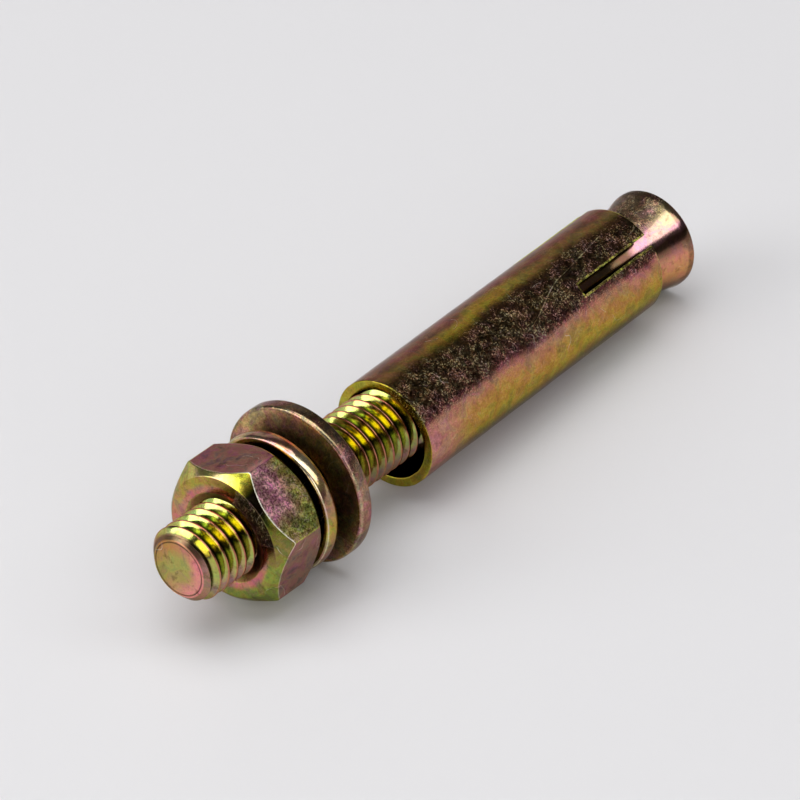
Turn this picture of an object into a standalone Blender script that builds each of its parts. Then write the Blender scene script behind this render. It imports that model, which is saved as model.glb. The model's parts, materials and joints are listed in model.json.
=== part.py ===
"""Sleeve expansion anchor, M10, lying at rest on a level surface.

The stud's axis runs along +X from its threaded tip to its cone head, and slopes down a little because the
flat washer's rim and the cone's rim carry it. Each piece is turned about its own +X axis. Angles about that
axis are counted from +Y towards +Z, so 90 degrees is the top.
"""

import math

import bpy
from mathutils import Matrix, Vector

MM = 0.001

# Right-handed thread of the stud
THREAD_DIAMETER = 9.85 * MM
THREAD_PITCH = 1.5 * MM
THREAD_FLANK = math.radians(30)
THREAD_CREST = 0.19 * MM
THREAD_STARTS_AT = math.radians(122)
THREAD_INTO_SLEEVE = 12.0 * MM
THREAD_RUNOUT = 2.2 * MM
TIP_UNDER_ROOT = 0.1 * MM
TIP_CHAMFER = math.radians(45)

# Cone head
CONE_ANGLE = math.radians(10)
CONE_LAND = 0.8 * MM
CONE_EDGE = 0.25 * MM
RIM_UNDER_SLEEVE = 0.55 * MM
CONE_CLEARANCE = 0.5 * MM

# Expansion sleeve
BORE_CLEARANCE = 1.0 * MM
SLEEVE_WALL = 1.2 * MM
SLEEVE_LENGTH = 46.2 * MM
SLEEVE_EDGE = 0.18 * MM
SLEEVE_LEAN = math.radians(42)
SLEEVE_END_ASIDE = 0.15 * MM
SLOT_CUTS = 2
SLOT_WIDTH = 1.55 * MM
SLOT_LENGTH = 13.7 * MM
SLOT_TURN = math.radians(43.6)
SAW_DIAMETER = 63.0 * MM

# Flat washer
WASHER_CLEARANCE = 0.575 * MM
WASHER_WIDTH = 4.75 * MM
WASHER_THICKNESS = 1.85 * MM
WASHER_ROLLED_EDGE = 0.35 * MM
WASHER_EDGE = 0.12 * MM

# Split spring washer
SPRING_CLEARANCE = 0.225 * MM
SPRING_WIDTH = 3.75 * MM
SPRING_THICKNESS = 2.0 * MM
SPRING_EDGE = 0.25 * MM
SPRING_RISE = 1.1 * MM
SPRING_GAP = 1.2 * MM
SPRING_SLANT = math.radians(25)
SPRING_SPLIT_AT = math.radians(250)

# Hexagon nut
NUT_ACROSS_FLATS = 16.8 * MM
NUT_HEIGHT = 7.95 * MM
NUT_FACE_INSET = 0.5 * MM
NUT_CHAMFER = math.radians(45)
NUT_MOUTH_CLEARANCE = 0.85 * MM
NUT_COUNTERSINK = math.radians(30)
NUT_CORNER_AT = math.radians(45.2)
NUT_CREST_CLEARANCE = 0.5 * MM
NUT_FLANK_CLEARANCE = 0.1 * MM

# Places along the stud, from its tip
NUT_FROM_TIP = 7.95 * MM
NUT_TO_SPRING = 0.2 * MM
SPRING_TO_WASHER = 1.5 * MM
GRIP_LENGTH = 14.2 * MM

# The gap left where one piece bears on another
SEAT_GAP = 0.15 * MM

THREAD_SIDES = 24
NUT_SIDES = 36
WASHER_SIDES = 48
SPRING_STEPS = 40
SLEEVE_SIDES = 64
EDGE_STEPS = 3
SAW_STEPS = 10
WELD = 1e-6
SHARP_FROM = math.radians(28)

thread_radius = THREAD_DIAMETER / 2
root_radius = thread_radius - (THREAD_PITCH - THREAD_CREST) / 2 / math.tan(THREAD_FLANK)
shank_radius = (thread_radius + root_radius) / 2
tip_radius = root_radius - TIP_UNDER_ROOT

bore_radius = thread_radius + BORE_CLEARANCE
sleeve_radius = bore_radius + SLEEVE_WALL
rim_radius = sleeve_radius - RIM_UNDER_SLEEVE
washer_hole_radius = thread_radius + WASHER_CLEARANCE
washer_radius = washer_hole_radius + WASHER_WIDTH
spring_hole_radius = thread_radius + SPRING_CLEARANCE
spring_radius = spring_hole_radius + SPRING_WIDTH

spring_at = NUT_FROM_TIP + NUT_HEIGHT + NUT_TO_SPRING
washer_at = spring_at + SPRING_THICKNESS + SPRING_RISE + SPRING_TO_WASHER
mouth_at = washer_at + WASHER_THICKNESS + GRIP_LENGTH
sleeve_end_at = mouth_at + SLEEVE_LENGTH
thread_end_at = mouth_at + THREAD_INTO_SLEEVE
cone_slope = math.tan(CONE_ANGLE)
cone_start_at = sleeve_end_at - (bore_radius - CONE_CLEARANCE - shank_radius) / cone_slope
cone_end_at = cone_start_at + (rim_radius - shank_radius) / cone_slope
stud_length = cone_end_at + CONE_LAND


def clear_scene():
    for thing in list(bpy.data.objects):
        bpy.data.objects.remove(thing, do_unlink=True)


def plated_steel(name, colour, roughness):
    material = bpy.data.materials.new(name)
    material.use_nodes = True
    shader = material.node_tree.nodes["Principled BSDF"]
    shader.inputs["Base Color"].default_value = (*colour, 1.0)
    shader.inputs["Metallic"].default_value = 1.0
    shader.inputs["Roughness"].default_value = roughness
    return material


def about_axis(along, radius, angle):
    return (along, radius * math.cos(angle), radius * math.sin(angle))


def ring_row(along, radius_at, sides, first_angle=0.0):
    """A closed row of points round the axis, its last point being its first again."""
    row = []
    for j in range(sides + 1):
        angle = first_angle + math.tau * (j % sides) / sides
        row.append(about_axis(along, radius_at(angle), angle))
    return row


def turned_rows(section, sides):
    """A row for each (along, radius) point of a turned section, turned so that a flat faces down."""
    return [ring_row(along, lambda angle, r=radius: r, sides, math.pi / sides) for along, radius in section]


def to_flat(radius, sides):
    """How far the flats of a form turned with this many sides lie from its axis."""
    return radius * math.cos(math.pi / sides)


def thread_rows(profile, start, end, sides, trimmed, first_angle=0.0):
    """Rows that follow a right-handed helix, held at start and end where the helix runs past them.

    profile lists (place in the pitch, radius), from the crest that passes the tip at THREAD_STARTS_AT.
    trimmed(along, radius) gives the end forms. A row ends where the same row of the next turn begins.
    """
    rows = []
    for turn in range(math.floor(start / THREAD_PITCH) - 2, math.ceil(end / THREAD_PITCH) + 2):
        for place, radius in profile:
            row = []
            for j in range(sides + 1):
                turns = (turn + j / sides) + place + (first_angle - THREAD_STARTS_AT) / math.tau
                along = min(max(turns * THREAD_PITCH, start), end)
                angle = first_angle + math.tau * (j % sides) / sides
                row.append(about_axis(along, trimmed(along, radius), angle))
            rows.append(row)
    return rows


def solid_from_rows(name, rows, material, closed_section=False):
    """Makes an object from a stack of rows, each running the right-hand way round the stack's direction.

    Points that fall together are welded, and faces that this closes up are dropped. An open stack is capped
    at both ends. A closed section joins its last row to its first.
    """
    places = {}
    points = []
    faces = []

    def index_of(point):
        key = tuple(round(value / WELD) for value in point)
        if key not in places:
            places[key] = len(points)
            points.append(point)
        return places[key]

    def add_face(corners):
        kept = [corner for i, corner in enumerate(corners) if corner != corners[i - 1]]
        if len(set(kept)) >= 3:
            faces.append(kept)

    grid = [[index_of(point) for point in row] for row in rows]
    if closed_section:
        grid.append(grid[0])
    else:
        add_face(grid[0][-2::-1])
        add_face(grid[-1][:-1])
    for row, following in zip(grid, grid[1:]):
        for j in range(len(row) - 1):
            add_face([row[j], row[j + 1], following[j + 1]])
            add_face([row[j], following[j + 1], following[j]])

    mesh = bpy.data.meshes.new(name)
    mesh.from_pydata(points, [], faces)
    mesh.materials.append(material)
    mesh.shade_smooth()
    mesh.set_sharp_from_angle(angle=SHARP_FROM)
    piece = bpy.data.objects.new(name, mesh)
    bpy.context.scene.collection.objects.link(piece)
    return piece


def edge_arc(along, radius, size, start_angle):
    """Points of a quarter-round edge of this size about (along, radius), turning from front to back."""
    arc = []
    for i in range(EDGE_STEPS + 1):
        angle = start_angle - math.pi / 2 * i / EDGE_STEPS
        arc.append((along + size * math.cos(angle), radius + size * math.sin(angle)))
    return arc


def make_cone_bolt(material):
    """The stud: chamfered tip, rolled thread that runs out on the shank, flared cone and its land."""

    def trimmed(along, radius):
        fade = min(max((thread_end_at - along) / THREAD_RUNOUT, 0.0), 1.0)
        radius = min(radius, tip_radius + along * math.tan(TIP_CHAMFER))
        return shank_radius + (radius - shank_radius) * fade

    crest_half = THREAD_CREST / 2 / THREAD_PITCH
    profile = [(-crest_half, thread_radius), (crest_half, thread_radius), (0.5, root_radius)]
    rows = thread_rows(profile, 0.0, thread_end_at, THREAD_SIDES, trimmed, math.pi / THREAD_SIDES)
    rows += turned_rows(
        [
            (cone_start_at, shank_radius),
            (cone_end_at, rim_radius),
            (stud_length - CONE_EDGE, rim_radius),
            (stud_length, rim_radius - CONE_EDGE),
        ],
        THREAD_SIDES,
    )
    return solid_from_rows("cone_bolt", rows, material)


def make_slot_cutter(turn):
    """The path of the slitting saw through both walls, with the blade's curve at its blind end."""
    saw_radius = SAW_DIAMETER / 2
    reach = sleeve_radius + SLEEVE_WALL
    centre = SLEEVE_LENGTH - SLOT_LENGTH + math.sqrt(saw_radius**2 - sleeve_radius**2)
    outline = []
    for i in range(SAW_STEPS + 1):
        across = reach * (1 - 2 * i / SAW_STEPS)
        outline.append((centre - math.sqrt(saw_radius**2 - across**2), across))
    outline += [(SLEEVE_LENGTH + SLEEVE_WALL, -reach), (SLEEVE_LENGTH + SLEEVE_WALL, reach)]
    count = len(outline)
    points = [(along, side * SLOT_WIDTH / 2, across) for side in (-1, 1) for along, across in outline]
    faces = [tuple(range(count)), tuple(range(2 * count - 1, count - 1, -1))]
    for i in range(count):
        k = (i + 1) % count
        faces.append((k, i, i + count, k + count))
    mesh = bpy.data.meshes.new("slot_cutter")
    mesh.from_pydata(points, [], faces)
    cutter = bpy.data.objects.new("slot_cutter", mesh)
    cutter.rotation_euler.x = turn
    cutter.hide_render = True
    cutter.display_type = "WIRE"
    bpy.context.scene.collection.objects.link(cutter)
    return cutter


def make_expansion_sleeve(material):
    """The tube, with each saw cut opening a slot in both walls at the cone end. Its origin is its mouth."""
    section = [
        (0.0, sleeve_radius - SLEEVE_EDGE),
        (SLEEVE_EDGE, sleeve_radius),
        (SLEEVE_LENGTH - SLEEVE_EDGE, sleeve_radius),
        (SLEEVE_LENGTH, sleeve_radius - SLEEVE_EDGE),
        (SLEEVE_LENGTH, bore_radius + SLEEVE_EDGE),
        (SLEEVE_LENGTH - SLEEVE_EDGE, bore_radius),
        (SLEEVE_EDGE, bore_radius),
        (0.0, bore_radius + SLEEVE_EDGE),
    ]
    sleeve = solid_from_rows("expansion_sleeve", turned_rows(section, SLEEVE_SIDES), material, True)
    for i in range(SLOT_CUTS):
        cutter = make_slot_cutter(SLOT_TURN + math.pi * i / SLOT_CUTS)
        cutter.parent = sleeve
        cut = sleeve.modifiers.new("saw_cut", "BOOLEAN")
        cut.operation = "DIFFERENCE"
        cut.object = cutter
    return sleeve


def make_flat_washer(material):
    """A punched ring: its edge is rolled on the side that faces the nut and square on the other."""
    section = edge_arc(WASHER_ROLLED_EDGE, washer_radius - WASHER_ROLLED_EDGE, WASHER_ROLLED_EDGE, math.pi)
    section += [
        (WASHER_THICKNESS - WASHER_EDGE, washer_radius),
        (WASHER_THICKNESS, washer_radius - WASHER_EDGE),
        (WASHER_THICKNESS, washer_hole_radius + WASHER_EDGE),
        (WASHER_THICKNESS - WASHER_EDGE, washer_hole_radius),
        (WASHER_EDGE, washer_hole_radius),
        (0.0, washer_hole_radius + WASHER_EDGE),
    ]
    return solid_from_rows("flat_washer", turned_rows(section, WASHER_SIDES), material, True)


def make_spring_washer(material):
    """A bar of rectangular section wound one turn, its ends sheared apart at a slant."""
    inner = spring_hole_radius
    outer = spring_radius
    edge = SPRING_EDGE
    section = [
        (edge, outer),
        (SPRING_THICKNESS - edge, outer),
        (SPRING_THICKNESS, outer - edge),
        (SPRING_THICKNESS, inner + edge),
        (SPRING_THICKNESS - edge, inner),
        (edge, inner),
        (0.0, inner + edge),
        (0.0, outer - edge),
    ]
    half_gap = SPRING_GAP / 2 / inner
    rows = []
    for i in range(SPRING_STEPS + 1):
        swept = half_gap + (math.tau - 2 * half_gap) * i / SPRING_STEPS
        rise = SPRING_RISE * swept / math.tau
        row = []
        for along, radius in section + section[:1]:
            slant = (along - SPRING_THICKNESS / 2) * math.tan(SPRING_SLANT) / outer
            row.append(about_axis(rise + along, radius, SPRING_SPLIT_AT - swept - slant))
        rows.append(row)
    return solid_from_rows("spring_washer", rows, material)


def make_hex_nut(material):
    """A hexagon nut with chamfered corners, countersunk mouths and a thread in mesh with the stud's."""
    half_flats = NUT_ACROSS_FLATS / 2
    face_radius = half_flats - NUT_FACE_INSET
    mouth_radius = thread_radius + NUT_MOUTH_CLEARANCE
    ridge_radius = root_radius + NUT_CREST_CLEARANCE
    ridge_half = NUT_CREST_CLEARANCE * math.tan(THREAD_FLANK) - NUT_FLANK_CLEARANCE
    groove_radius = ridge_radius + (THREAD_PITCH / 2 - ridge_half) / math.tan(THREAD_FLANK)
    start = NUT_FROM_TIP
    end = NUT_FROM_TIP + NUT_HEIGHT

    def hexagon(angle):
        from_flat = (angle - NUT_CORNER_AT) % (math.tau / 6) - math.tau / 12
        return half_flats / math.cos(from_flat)

    def chamfer_depth(angle):
        return (hexagon(angle) - face_radius) * math.tan(NUT_CHAMFER)

    def hexagon_row(face, inwards):
        row = []
        for j in range(NUT_SIDES + 1):
            angle = NUT_CORNER_AT + math.tau * (j % NUT_SIDES) / NUT_SIDES
            row.append(about_axis(face + inwards * chamfer_depth(angle), hexagon(angle), angle))
        return row

    def face_row(face, radius):
        return ring_row(face, lambda angle: radius, NUT_SIDES, NUT_CORNER_AT)

    def trimmed(along, radius):
        depth = min(along - start, end - along)
        return max(radius, mouth_radius - depth / math.tan(NUT_COUNTERSINK))

    ridge = ridge_half / THREAD_PITCH
    profile = [(0.0, groove_radius), (0.5 - ridge, ridge_radius), (0.5 + ridge, ridge_radius)]
    rows = [
        face_row(start, face_radius),
        hexagon_row(start, 1),
        hexagon_row(end, -1),
        face_row(end, face_radius),
    ]
    rows += reversed(thread_rows(profile, start, end, NUT_SIDES, trimmed, NUT_CORNER_AT))
    nut = solid_from_rows("hex_nut", rows, material, True)
    nut.data.transform(Matrix.Translation((-start, 0.0, 0.0)))
    return nut


def lay_down(bolt, sleeve, flat_washer, spring_washer, nut):
    """Sets every piece where it comes to rest.

    The stud bears on the flat washer's hole and on its cone rim, the washers and the cone rim stand on the
    surface. The sleeve hangs on the thread at its mouth, a little round towards -Y, and stands on the surface
    at its other end, a little aside.
    """
    washer_lift = WASHER_CLEARANCE - SEAT_GAP
    spring_drop = SPRING_CLEARANCE - SEAT_GAP
    washer_back_at = washer_at + WASHER_THICKNESS - WASHER_EDGE
    rim_edge_at = stud_length - CONE_EDGE
    washer_height = to_flat(washer_radius, WASHER_SIDES) - washer_lift
    rim_height = to_flat(rim_radius, THREAD_SIDES)
    sleeve_height = to_flat(sleeve_radius, SLEEVE_SIDES)
    tilt = math.atan2(washer_height - rim_height, rim_edge_at - washer_back_at)
    tip_height = rim_height * math.cos(tilt) + rim_edge_at * math.sin(tilt)
    left = -tip_radius * math.sin(tilt)
    right = stud_length * math.cos(tilt) + (rim_radius - CONE_EDGE) * math.sin(tilt)
    tip = Vector((-(left + right) / 2, 0.0, tip_height))
    stud_frame = Matrix.Translation(tip) @ Matrix.Rotation(tilt, 4, "Y")

    hang = BORE_CLEARANCE - SEAT_GAP
    mouth = stud_frame @ Vector((mouth_at, -hang * math.sin(SLEEVE_LEAN), -hang * math.cos(SLEEVE_LEAN)))
    sleeve_tilt = math.asin((mouth.z - sleeve_height) / SLEEVE_LENGTH)
    sleeve_swing = math.asin((SLEEVE_END_ASIDE - mouth.y) / SLEEVE_LENGTH)
    sleeve_turned = Matrix.Rotation(sleeve_swing, 4, "Z") @ Matrix.Rotation(sleeve_tilt, 4, "Y")
    sleeve_frame = Matrix.Translation(mouth) @ sleeve_turned

    stud_axis = bpy.data.objects.new("stud_axis", None)
    bpy.context.scene.collection.objects.link(stud_axis)
    stud_axis.matrix_world = stud_frame
    for piece in (bolt, sleeve, flat_washer, spring_washer, nut):
        piece.parent = stud_axis
    nut.location.x = NUT_FROM_TIP
    spring_washer.location = (spring_at, 0.0, -spring_drop)
    flat_washer.location = (washer_at, 0.0, washer_lift)
    sleeve.matrix_local = stud_frame.inverted() @ sleeve_frame


def main():
    clear_scene()
    lay_down(
        make_cone_bolt(plated_steel("chromated_stud", (0.60, 0.52, 0.24), 0.32)),
        make_expansion_sleeve(plated_steel("chromated_tube", (0.52, 0.40, 0.24), 0.38)),
        make_flat_washer(plated_steel("chromated_washer", (0.45, 0.36, 0.26), 0.38)),
        make_spring_washer(plated_steel("chromated_spring_steel", (0.56, 0.43, 0.27), 0.34)),
        make_hex_nut(plated_steel("chromated_nut", (0.50, 0.42, 0.28), 0.36)),
    )


main()
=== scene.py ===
"""The looks of a sleeve expansion anchor, M10, in yellow chromated zinc plate.

The stud's thread and the nut's come from one Geometry Nodes tree that follows a helix. The other pieces are
turned or wound sections. Lengths are in millimetres unless a comment says otherwise. Each piece is made about
its own +X axis, with angles counted from +Y towards +Z, and is then laid where the frame holds it.
"""

import json
import math
from functools import partial

import bmesh
import bpy
from mathutils import Matrix, Vector, noise


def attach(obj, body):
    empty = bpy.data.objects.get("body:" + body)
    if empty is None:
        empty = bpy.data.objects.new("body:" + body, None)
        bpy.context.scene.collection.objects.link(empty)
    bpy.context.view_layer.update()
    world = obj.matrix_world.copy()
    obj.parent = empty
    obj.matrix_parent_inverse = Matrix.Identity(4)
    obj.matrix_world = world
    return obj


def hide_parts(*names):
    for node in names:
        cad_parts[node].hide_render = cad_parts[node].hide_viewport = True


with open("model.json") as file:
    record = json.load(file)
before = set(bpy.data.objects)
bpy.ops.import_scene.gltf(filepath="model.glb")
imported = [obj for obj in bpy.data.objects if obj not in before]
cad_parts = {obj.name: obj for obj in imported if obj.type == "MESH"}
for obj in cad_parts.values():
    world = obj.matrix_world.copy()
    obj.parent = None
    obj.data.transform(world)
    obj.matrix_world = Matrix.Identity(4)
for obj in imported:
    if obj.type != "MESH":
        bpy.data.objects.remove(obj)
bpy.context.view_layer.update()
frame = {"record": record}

MM = 0.001

# Right-handed thread, M10 x 1.5, as rolled
THREAD_RADIUS = 4.925
THREAD_PITCH = 1.5
THREAD_FLANK = math.radians(30)
THREAD_CREST = 0.16
THREAD_ROOT_RADIUS = 3.86
THREAD_ROUNDING = 0.075
THREAD_STARTS_AT = math.radians(122)
THREAD_END = 48.75
THREAD_RUNOUT = 2.2
NO_RUNOUT = 0.0001
TIP_RADIUS = 3.69
TIP_EDGE = 0.22
SHANK_RADIUS = 4.358

# Cone head
CONE_START = 76.897
CONE_END = 89.472
CONE_EDGE = 0.3
CONE_FLARE = 1.35
RIM_RADIUS = 6.575
STUD_LENGTH = 90.272

# Expansion sleeve
BORE_RADIUS = 5.925
SLEEVE_RADIUS = 7.125
SLEEVE_LENGTH = 46.2
SLEEVE_EDGE = 0.13
SLEEVE_MOUTH = 36.75
SLEEVE_HANG = 0.85
SLEEVE_LEAN = math.radians(42)
SLEEVE_END_ASIDE = 0.15
SLOTS = 4
SLOT_WIDTH = 1.55
SLOT_LENGTH = 13.7
SLOT_AT = math.radians(133.6)

# Flat washer
WASHER_AT = 20.7
WASHER_LIFT = 0.425
WASHER_HOLE = 5.5
WASHER_RADIUS = 10.25
WASHER_THICKNESS = 1.85
WASHER_ROLLED_EDGE = 0.42
WASHER_HOLE_EDGE = 0.3
WASHER_BACK_EDGE = 0.15
WASHER_FACE = 3.95

# Split spring washer
SPRING_AT = 16.1
SPRING_DROP = 0.075
SPRING_HOLE = 5.15
SPRING_RADIUS = 8.9
SPRING_THICKNESS = 2.0
SPRING_EDGE = 0.26
SPRING_CROWN = 0.2
SPRING_RISE = 1.1
SPRING_GAP = 1.2
SPRING_SLANT = math.radians(25)
SPRING_SPLIT_AT = math.radians(250)

# Hexagon nut
NUT_AT = 7.95
NUT_HEIGHT = 7.95
NUT_HALF_FLATS = 8.4
NUT_FACE_RADIUS = 7.9
NUT_CORNER_ROUNDING = 0.5
NUT_CHAMFER = math.radians(45)
NUT_CORNER_AT = math.radians(45.2)
NUT_MOUTH_RADIUS = 5.775
NUT_COUNTERSINK = math.radians(30)
NUT_RIDGE_RADIUS = 4.29
NUT_GROOVE_RADIUS = 5.1
NUT_GROOVE_FLAT = 0.1
NUT_FACE_EASING = 0.15
NUT_SHOULDER_EASING = 0.11

# How finely the pieces are made. A ring of the radius POLE is one point once it is welded.
THREAD_SIDES = 96
THREAD_ROWS = 16
NUT_SIDES = 144
NUT_CROWDING = 0.85
TURNED_SIDES = 192
SHANK_STEPS = 12
CONE_STEPS = 24
SLEEVE_STEPS = 60
SLEEVE_WALL_STEPS = 48
SPRING_STEPS = 180
WELD = 0.002
POLE = 0.0003
SWELL_SIZE = 4.0
SHARP_EDGE = math.radians(40)

# How high the etched grain stands, in metres
GRAIN_HEIGHT = 0.00003

# The table and the backdrop are one pale colour. The backdrop's heights are those of a direction's Z, and
# ROOM is how bright the room is above it. The table is sized and dropped in metres.
PALE = "#E2E1E3"
ROOM = 0.09
BACKDROP_FULL = 0.09
BACKDROP_TOP = 0.2
TABLE_HALF = 1.5
TABLE_DROP = 0.00008

# Softboxes: name, direction from the object, distance, width and height in metres, power in watts
LAMPS = (
    ("key_box", (-0.76, 0.493, 0.423), 1.4, 0.88, 1.0, 9.0),
    ("left_strip", (-0.99, -0.02, 0.15), 1.4, 0.49, 0.32, 0.9),
    ("overhead_box", (-0.1, 0.12, 1.0), 1.4, 1.3, 1.3, 13.5),
    ("cone_strip", (0.3, -0.52, 0.8), 1.4, 0.6, 0.95, 3.5),
    ("front_fill", (-0.45, -0.75, 0.5), 1.4, 0.9, 0.8, 3.4),
    ("back_panel", (0.62, 0.7, 0.4), 1.6, 0.9, 0.7, 0.75),
)

# Camera, with its angles in degrees
CAMERA_LENS = 268.758
CAMERA_SENSOR = 36.0
CAMERA_TARGET = (-0.045, 3.974, 6.406)
CAMERA_DISTANCE = 717.49
CAMERA_AZIMUTH = 49.956
CAMERA_ELEVATION = 36.779
CAMERA_ROLL = -1.729

mounts = {mount["name"]: mount for mount in frame["record"]["mounts"]}
stud_tip = Vector(mounts["tip_face"]["pos_m"])
stud_axis = Vector(mounts["cone_end_face"]["axis"]).normalized()
sideways = Vector((0.0, 1.0, 0.0))
upwards = stud_axis.cross(sideways)
stud_turn = Matrix((stud_axis, sideways, upwards)).transposed().to_4x4()
STUD_FRAME = Matrix.Translation(stud_tip) @ stud_turn


def on_stud(along, aside=0.0, up=0.0):
    """The frame of a piece that sits on the stud, its start at this place from the tip."""
    return STUD_FRAME @ Matrix.Translation(Vector((along, aside, up)) * MM)


def sleeve_frame():
    """The sleeve hangs on the thread at its mouth, and its other end stands on the surface."""
    mouth = on_stud(
        SLEEVE_MOUTH, -SLEEVE_HANG * math.sin(SLEEVE_LEAN), -SLEEVE_HANG * math.cos(SLEEVE_LEAN)
    ).translation
    tilt = math.asin((mouth.z / MM - SLEEVE_RADIUS) / SLEEVE_LENGTH)
    swing = math.asin((SLEEVE_END_ASIDE - mouth.y / MM) / SLEEVE_LENGTH)
    return Matrix.Translation(mouth) @ Matrix.Rotation(swing, 4, "Z") @ Matrix.Rotation(tilt, 4, "Y")


SLEEVE_FRAME = sleeve_frame()
WASHER_FRAME = on_stud(WASHER_AT, up=WASHER_LIFT)
SPRING_FRAME = on_stud(SPRING_AT, up=-SPRING_DROP)
NUT_FRAME = on_stud(NUT_AT)


# Meshes

def point(along, radius, angle):
    """A point of a piece from its place along the axis, its radius and its angle."""
    return Vector((along, radius * math.cos(angle), radius * math.sin(angle)))


def arc(along, radius, size, start, steps=5):
    """Points of a quarter-round edge about (along, radius), turning from the front to the back."""
    turns = [start - math.pi / 2 * i / steps for i in range(steps + 1)]
    return [(along + size * math.cos(turn), radius + size * math.sin(turn)) for turn in turns]


def stack(rows, closed_section=False):
    """A mesh from rows of points round the axis. A closed section joins its last row to its first."""
    mesh = bmesh.new()
    grid = [[mesh.verts.new(place) for place in row] for row in rows]
    if closed_section:
        grid.append(grid[0])
    for row, following in zip(grid, grid[1:]):
        for j in range(len(row)):
            k = (j + 1) % len(row)
            mesh.faces.new((row[j], row[k], following[k], following[j]))
    return mesh


def turned(section, sides, closed_section=False):
    """A turned form: section lists (along, radius)."""
    rows = []
    for along, radius in section:
        rows.append([point(along, radius, math.tau * j / sides) for j in range(sides)])
    return stack(rows, closed_section)


def finished(mesh, name, place, material, unevenness=0.0):
    """Turns millimetres into metres, lays the mesh in place and makes its object.

    Unevenness is the depth of shallow swells, which let edges and reflections waver as on plated steel.
    """
    bmesh.ops.remove_doubles(mesh, verts=mesh.verts, dist=WELD)
    bmesh.ops.recalc_face_normals(mesh, faces=mesh.faces)
    mesh.normal_update()
    for vert in mesh.verts:
        vert.co += vert.normal * unevenness * noise.noise(vert.co / SWELL_SIZE)
    data = bpy.data.meshes.new(name)
    mesh.to_mesh(data)
    mesh.free()
    data.transform(place @ Matrix.Scale(MM, 4))
    data.materials.clear()
    data.materials.append(material)
    data.shade_smooth()
    data.set_sharp_from_angle(angle=SHARP_EDGE)
    piece = bpy.data.objects.new(name, data)
    bpy.context.scene.collection.objects.link(piece)
    return piece


# Nodes

MATHS = "ShaderNodeMath"
MIX = "ShaderNodeMix"
RAMP = "ShaderNodeValToRGB"
RANGE = "ShaderNodeMapRange"
NOISE = "ShaderNodeTexNoise"

# Settings that many of the nodes share. A range whose first end is the higher one falls instead of rising.
PLUS = {"operation": "ADD"}
MINUS = {"operation": "SUBTRACT"}
TIMES = {"operation": "MULTIPLY"}
OVER = {"operation": "DIVIDE"}
SIZE = {"operation": "ABSOLUTE"}
PART = {"operation": "FRACT"}
SMOOTH = {"interpolation_type": "SMOOTHSTEP"}
COLOURS = {"data_type": "RGBA"}
DARKEN = {"data_type": "RGBA", "blend_type": "MULTIPLY"}


def linear(code):
    """An sRGB hex colour as linear red, green, blue and alpha."""
    shares = [int(code[i:i + 2], 16) / 255 for i in (1, 3, 5)]
    return (*[c / 12.92 if c <= 0.04045 else ((c + 0.055) / 1.055) ** 2.4 for c in shares], 1.0)


def add(tree, kind, *inputs, sockets=None, stops=None, **settings):
    """Adds a node to a tree.

    The inputs that its settings leave in use are given in order, each a value, a hex colour, a node, a node's
    output, or None to leave it as it is. sockets gives inputs by name instead, stops are a colour ramp's, and
    any other keyword is one of the node's own settings.
    """
    node = tree.nodes.new(kind)
    for key, value in settings.items():
        setattr(node, key, value)
    pairs = list(zip([socket for socket in node.inputs if socket.enabled], inputs))
    pairs += [(node.inputs[name], value) for name, value in (sockets or {}).items()]
    for socket, value in pairs:
        if isinstance(value, bpy.types.Node):
            value = next(output for output in value.outputs if output.enabled)
        if isinstance(value, bpy.types.NodeSocket):
            tree.links.new(value, socket)
        elif value is not None:
            socket.default_value = linear(value) if isinstance(value, str) else value
    for i, (position, colour) in enumerate(stops or []):
        elements = node.color_ramp.elements
        element = elements[i] if i < 2 else elements.new(position)
        element.position = position
        element.color = linear(colour)
    return node


# The thread, as a Geometry Nodes tree

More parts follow.
